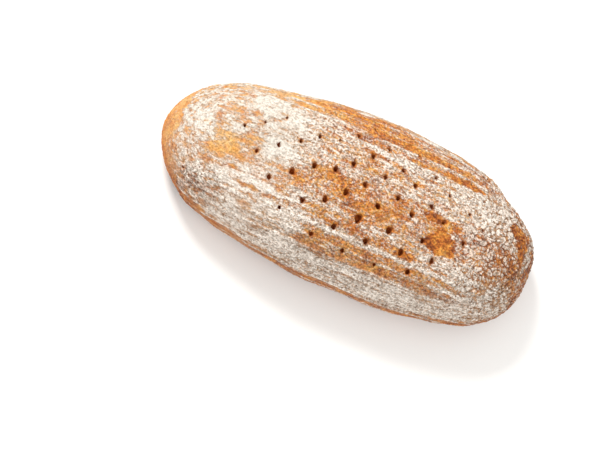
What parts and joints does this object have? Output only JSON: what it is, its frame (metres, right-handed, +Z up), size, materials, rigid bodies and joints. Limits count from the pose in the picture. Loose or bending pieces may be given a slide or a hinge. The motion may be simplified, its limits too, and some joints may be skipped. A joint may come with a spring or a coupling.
{
  "type": "oblong bread loaf",
  "caption": "Free-standing oblong rye-wheat loaf with cane-basket ribs round its sides, a docked and floured crown, and a flat base.",
  "frame": {"origin": "centre of the flat base, on the surface the loaf stands on", "axes": "+X along the loaf's length, +Y across its width, +Z up through the docked crown"},
  "size_m": [0.295, 0.1332, 0.076],
  "materials": {
    "crust": "matte, golden-brown baked crust dusted with white flour"
  },
  "bodies": {
    "root": {"loaf": "crust"}
  },
  "joints": []
}
